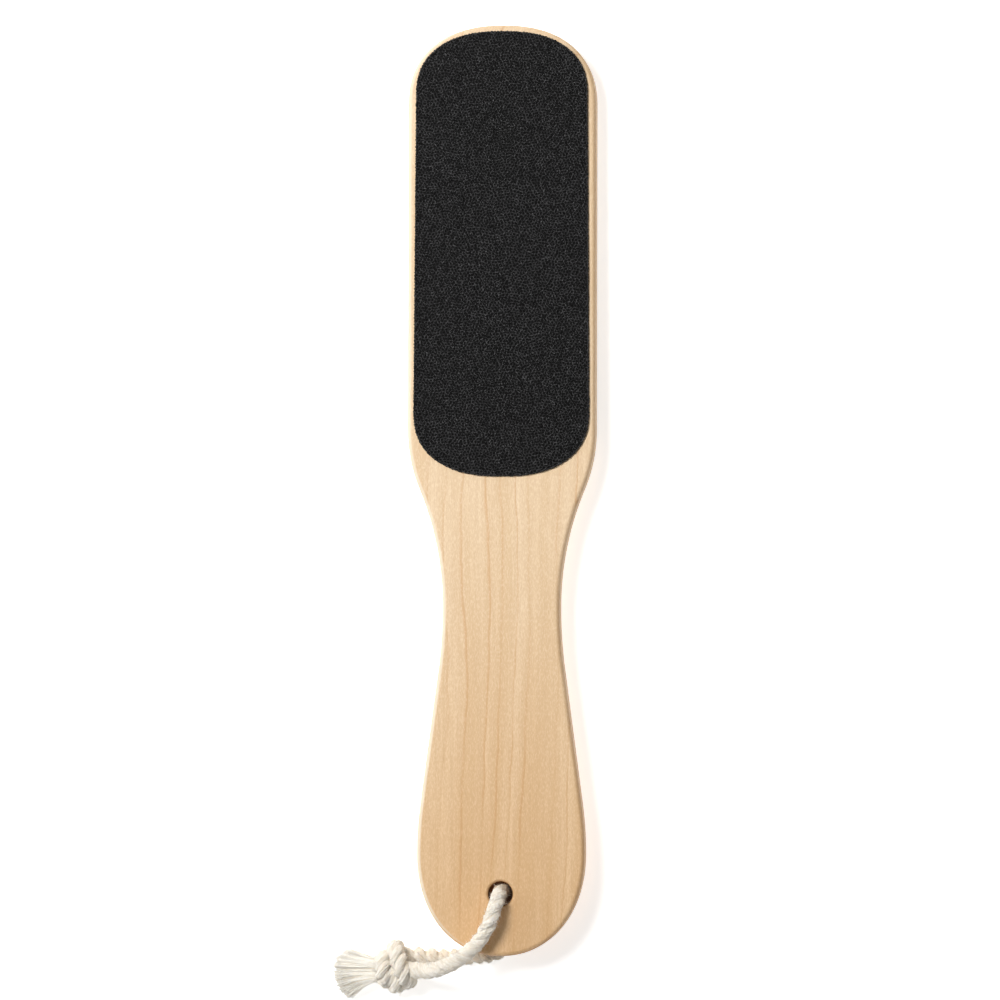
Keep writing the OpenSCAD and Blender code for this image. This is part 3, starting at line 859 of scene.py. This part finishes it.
def rope_mesh(rings, lay):
    """Rings joined into a closed tube."""
    count, sides = rings.shape[:2]
    points = rings.reshape(-1, 3)
    maps = lay.reshape(-1, 2)
    faces = bands([i * sides for i in range(count)], sides)
    points = np.vstack([points, rings[0].mean(axis=0), rings[-1].mean(axis=0)])
    maps = np.vstack([maps, maps[0], maps[-1]])
    first, last = count * sides, count * sides + 1
    base = (count - 1) * sides
    faces += [(first, (j + 1) % sides, j) for j in range(sides)]
    faces += [(last, base + j, base + (j + 1) % sides) for j in range(sides)]
    return points, faces, maps


def make_rope_piece(name, parts, finish, replaced):
    """One piece of the loop from several closed tubes."""
    points, faces, maps, first = [], [], [], 0
    for p, f, m in parts:
        points.append(p)
        maps.append(m)
        faces += [tuple(i + first for i in face) for face in f]
        first += len(p)
    return make_piece(name, beside_hole(np.vstack(points)), faces, finish, "hanging_loop", replaced,
                      lay=np.vstack(maps))


def make_runs():
    """The rope's two runs, cut in the middle of the hole from one rope."""
    random = np.random.default_rng(31)
    whole = curve_through(BACK_ROUTE[::-1] + FRONT_ROUTE[1:], RUN_STEP)
    middle = int(np.argmin(np.linalg.norm(whole - FRONT_ROUTE[0], axis=1)))
    # Under the pull of the knot the back strands stand apart like beads, and the front ones are worn smooth
    share = np.linspace(0, 1, len(whole))
    pitch = np.interp(share, [0, 0.08, 0.16, 0.3, 0.42, 0.66, 0.8, 1], [11, 10.4, 8.6, 7.8, 11, 11.2, 8, 7.4])
    diameter = ROPE_D * np.interp(share, [0, 0.35, 0.52, 0.72, 0.86, 1], [1.02, 1, 0.92, 0.91, 0.97, 1.03])
    strand_share = np.interp(share, [0, 0.32, 0.5, 0.7, 0.85, 1], [0.262, 0.27, 0.33, 0.35, 0.39, 0.38])
    beads = np.interp(share, [0, 0.26, 0.36], [0.48, 0.48, 0])
    crests = [(-21.2, -18.3, 5), (-17.7, -18.5, 4.6), (-15, -18.5, 4.5), (-2.4, -7.7, 20), (-20.1, -21.5, 15)]
    # Its front end dips as it goes into the knot
    dip = np.interp(share, [0.95, 0.975, 1], [0, 0.7, 2])
    rings, lay = laid_rope(whole - dip[:, None] * (0, 0, 1), diameter, pitch, crests, strand_share, random,
                           start=(0, 1, 0), beads=beads)
    back, front = slice(0, middle + 1), slice(middle, None)
    hair_count, longest_hair = 750, 1.3
    cords = []
    for side, part, path in (("back", back, whole[back][::-1]), ("front", front, whole[front])):
        fuzz = hairs(rings[part], lay[part], hair_count, random, longest_hair)
        piece = make_rope_piece(f"rope_{side}_strand", [rope_mesh(rings[part], lay[part])] + fuzz, cotton,
                                [f"rope_{side}_run"])
        cords.append((piece, beside_hole(path)))
    return cords


def make_knot():
    """The doubled rope's knot: two wraps side by side, the bight between them, and what they hold."""
    random = np.random.default_rng(5)
    near_wrap = [
        (-30.6, -18.8, 3), (-30.8, -17, 3.4), (-30.4, -16.1, 4.9), (-29.9, -16.2, 7), (-29.4, -17.2, 8.8),
        (-29, -18.8, 9.7), (-28.4, -20.7, 10), (-27.7, -22.6, 9.5), (-27.1, -24.1, 8.2), (-26.8, -24.9, 6.3),
        (-26.8, -24.8, 4.2), (-27.2, -23.6, 2.8), (-28, -21.4, 2.5), (-29.2, -19.2, 2.5),
    ]
    far_wrap = [
        (-31.4, -21.6, 3.2), (-32.6, -20.2, 2.7), (-33.5, -19.3, 3.6), (-33.6, -19.1, 5), (-33.5, -19.5, 7),
        (-33.5, -20.8, 8.1), (-33.5, -22.2, 8.3), (-33.3, -23.6, 7.5), (-33.1, -24.8, 5.7),
        (-33.1, -24.7, 3.6), (-32.4, -23, 2.6), (-31, -20.6, 2.45),
    ]
    bight = [
        (-31.2, -20.8, 6), (-30.7, -22.6, 7), (-30.4, -24.4, 7.1), (-30.25, -26, 6), (-30.25, -26.6, 4.6),
        (-30.1, -26.2, 3.1), (-29.7, -24, 2.6), (-29.2, -20.5, 2.6),
    ]
    held = [(-27.2, -18.6, 4.8), (-29.6, -19.4, 5), (-32, -20, 4.9), (-34.4, -20.3, 4.7), (-36.4, -20.4, 4.6)]
    held_too = [
        (-27.2, -21.9, 6.6), (-29.6, -22.6, 5.8), (-32, -23, 5), (-34.4, -23.3, 4.6), (-36.4, -23.5, 4.4),
    ]
    near_crests = [(-29.3, -17.2, 10), (-28.7, -20.7, 11), (-27.4, -23.2, 10), (-26.4, -25, 7)]
    far_crests = [(-32.9, -18.4, 8), (-33.3, -21.8, 9.5), (-32.8, -24.4, 8)]
    ridge, hair_count = 0.11, 160
    parts = []
    for route, diameter, pitch, strand_share, crests in (
            (near_wrap, 5, 8.2, 0.295, near_crests), (far_wrap, 4.7, 8.7, 0.295, far_crests),
            (bight, 4.8, 12, 0.3, [(-30, -26.2, 6.5)]), (held, 4.4, 9, 0.3, [(-30, -19.6, 6)]),
            (held_too, 4.4, 9, 0.3, [(-30, -22.6, 7)])):
        line = curve_through(route, KNOT_STEP)
        rings, lay = laid_rope(line, diameter, pitch, crests, strand_share, random, ridge=ridge)
        parts += [rope_mesh(rings, lay)] + hairs(rings, lay, hair_count, random)
    return make_rope_piece("rope_knot_wraps", parts, cotton, ["rope_knot"])


# The tassel
TASSEL_LOCKS, HAIRS_PER_LOCK, HAIR_STEPS = 25, 76, 8


def lock_tone(share):
    """How far out of the gaps between two locks a share lies, from 0 in a gap to 1."""
    return 1 - (2 * np.abs(share * TASSEL_LOCKS % 1 - 0.5)) ** 3


def fan_edge(share):
    """Where a fibre of the tassel ends, from its upper corner, at 0, to its lower one, at 1."""
    at = [0, 0.12, 0.3, 0.5, 0.68, 0.84, 0.95, 1]
    x = [-44.4, -46.1, -47.3, -47.3, -47.1, -46.2, -45.2, -44.4]
    y = [-16.6, -18, -20, -22.5, -24.8, -27.1, -29.2, -30.2]
    return np.interp(share, at, x), np.interp(share, at, y)


def fan_line(share, level, t, root_shift=0, end_shift=(0, 0, 0), bow=(0, 0, 0)):
    """A curve of the tassel, from the knot, at t of 0, to its free end, at 1.

    Share runs from the tassel's upper side to its lower one, and level from its floor to its top.
    """
    root_x, root_y, root_w, root_z, half_h, flatter = -35.2, -18.7, 6.8, 4.6, 2.2, 0.35
    end_low, end_h = 0.3, 4.4
    rise = half_h * math.sqrt(1 - flatter * (2 * share - 1) ** 4)
    root = np.array([root_x, root_y - root_w * share + root_shift, root_z + rise * (2 * level - 1)])
    end_x, end_y = fan_edge(share)
    end = np.array([end_x, end_y, end_low + end_h * level]) + end_shift
    run = end[0] - root[0]
    first = root + np.array([run * 0.42, 0, 0])
    second = end - np.array([run * 0.3, (end[1] - root[1]) * 0.45, 0]) + bow
    line = (1 - t) ** 3 * root + 3 * (1 - t) ** 2 * t * first + 3 * (1 - t) * t ** 2 * second + t ** 3 * end
    line[:, 2] = np.maximum(line[:, 2], TASSEL_LOW)
    return line


def tassel_core():
    """The mass of cotton inside the tassel, as a fan with ridges along its locks."""
    core_share, core_steps, core_columns, length = 0.86, 26, 200, 11
    top_level, bottom_level, margin, lock_ridge = 0.93, 0.08, 0.03, 0.06
    random = np.random.default_rng(8)
    t = np.linspace(0, core_share, core_steps)[:, None]
    shares = np.linspace(margin, 1 - margin, core_columns)
    tops = np.array([fan_line(share, top_level, t) for share in shares])
    bottoms = np.array([fan_line(share, bottom_level, t) for share in shares])
    ridges = np.zeros(tops.shape[:2])
    for count, weight in ((9, 0.06), (17, 0.05), (31, 0.04)):
        drift = 0.9 * np.sin(t[:, 0] * random.uniform(1, 3) + random.random() * 6)
        ridges += weight * np.sin(count * 2 * math.pi * shares[:, None] + random.random() * 6 + drift[None])
    ridges -= lock_ridge * np.cos(TASSEL_LOCKS * 2 * math.pi * shares[:, None])
    grow = np.linspace(0.4, 1, core_steps)[None]
    tops[:, :, 2] += ridges * grow
    rings = np.concatenate([tops, bottoms[::-1]]).transpose(1, 0, 2)
    # These tones set where painted shade falls in the gaps between locks
    tones = lock_tone(np.concatenate([shares, shares[::-1]]))
    return rope_mesh(rings, lay_of(rings, tones[None], t * length))


def make_tassel():
    """The core and its locks of hairs. Each lock ends a little out of line with the others."""
    hair_level, lock_w_share, length = 0.95, 0.27, 12
    random = np.random.default_rng(12)
    parts = [tassel_core()]
    t = np.linspace(0, 1, HAIR_STEPS)[:, None]
    for lock in range(TASSEL_LOCKS):
        lock_share = (lock + 0.5) / TASSEL_LOCKS + random.normal(0, 0.003)
        lock_shift = random.normal(0, 0.2, 3)
        lock_level = hair_level + random.normal(0, 0.018)
        for hair in range(HAIRS_PER_LOCK):
            share = float(np.clip(lock_share + random.normal(0, lock_w_share / TASSEL_LOCKS), 0, 1))
            # Most hairs lie on the core, and the rest fill the space behind its end
            level = lock_level + random.normal(0, 0.03) if hair % 3 else random.uniform(0.05, 0.9)
            end_shift = lock_shift * (1.8, 0.5, 0.15) + random.normal(0, (0.5, 0.14, 0.15))
            end_shift[0] += abs(random.normal(0, 0.6))
            bow = random.normal(0, 0.1, 3) + lock_shift * 0.3
            line = fan_line(share, level, t, random.normal(0, 0.05), end_shift, bow)
            radius = random.uniform(0.06, 0.13) * np.linspace(1, 0.6, HAIR_STEPS)
            rings = thread_rings(line, (0, 1, 0), radius, random.random() * 90)
            # The tone sets the painted shade in the gaps between locks, varied from hair to hair
            tone = lock_tone(share) * random.uniform(0.6, 1)
            parts.append(rope_mesh(rings, lay_of(rings, tone, t * length)))
    return make_rope_piece("rope_tassel", parts, loose_cotton, ["upper_frayed_end", "lower_frayed_end"])


# The scene
wood = wood_finish()
cotton = cotton_finish()
loose_cotton = loose_cotton_finish()
coarse = grit_finish("coarse_grit", rgb(7, 7, 7), rgb(103, 103, 104), 0.9)
fine = grit_finish("fine_grit", rgb(15, 14, 14), rgb(84, 83, 82), 0.75)
cloth = cloth_finish()
glue = glue_finish()

runs = make_runs()
knot = make_knot()
tassel = make_tassel()

make_paddle()
make_grit("front_grit", "front_grit_coat", coarse, front=True, coat_t=FRONT_GRIT_T,
          spacing=0.93, base_share=0.12, seed=3)
make_grit("back_grit", "back_grit_coat", fine, front=False, coat_t=BACK_GRIT_T,
          spacing=0.84, base_share=0.3, seed=4)
for side in ("front", "back"):
    for layer, finish in (("backing_sheet", cloth), ("adhesive_film", glue)):
        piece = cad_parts[f"{side}_{layer}"]
        piece.data.materials.clear()
        piece.data.materials.append(finish)

half = 1600
corners = [(-half, -half, 0), (half, -half, 0), (half, half, 0), (-half, half, 0)]
floor = make_piece("floor", corners, [(0, 1, 2, 3)], floor_finish(), smooth=False)
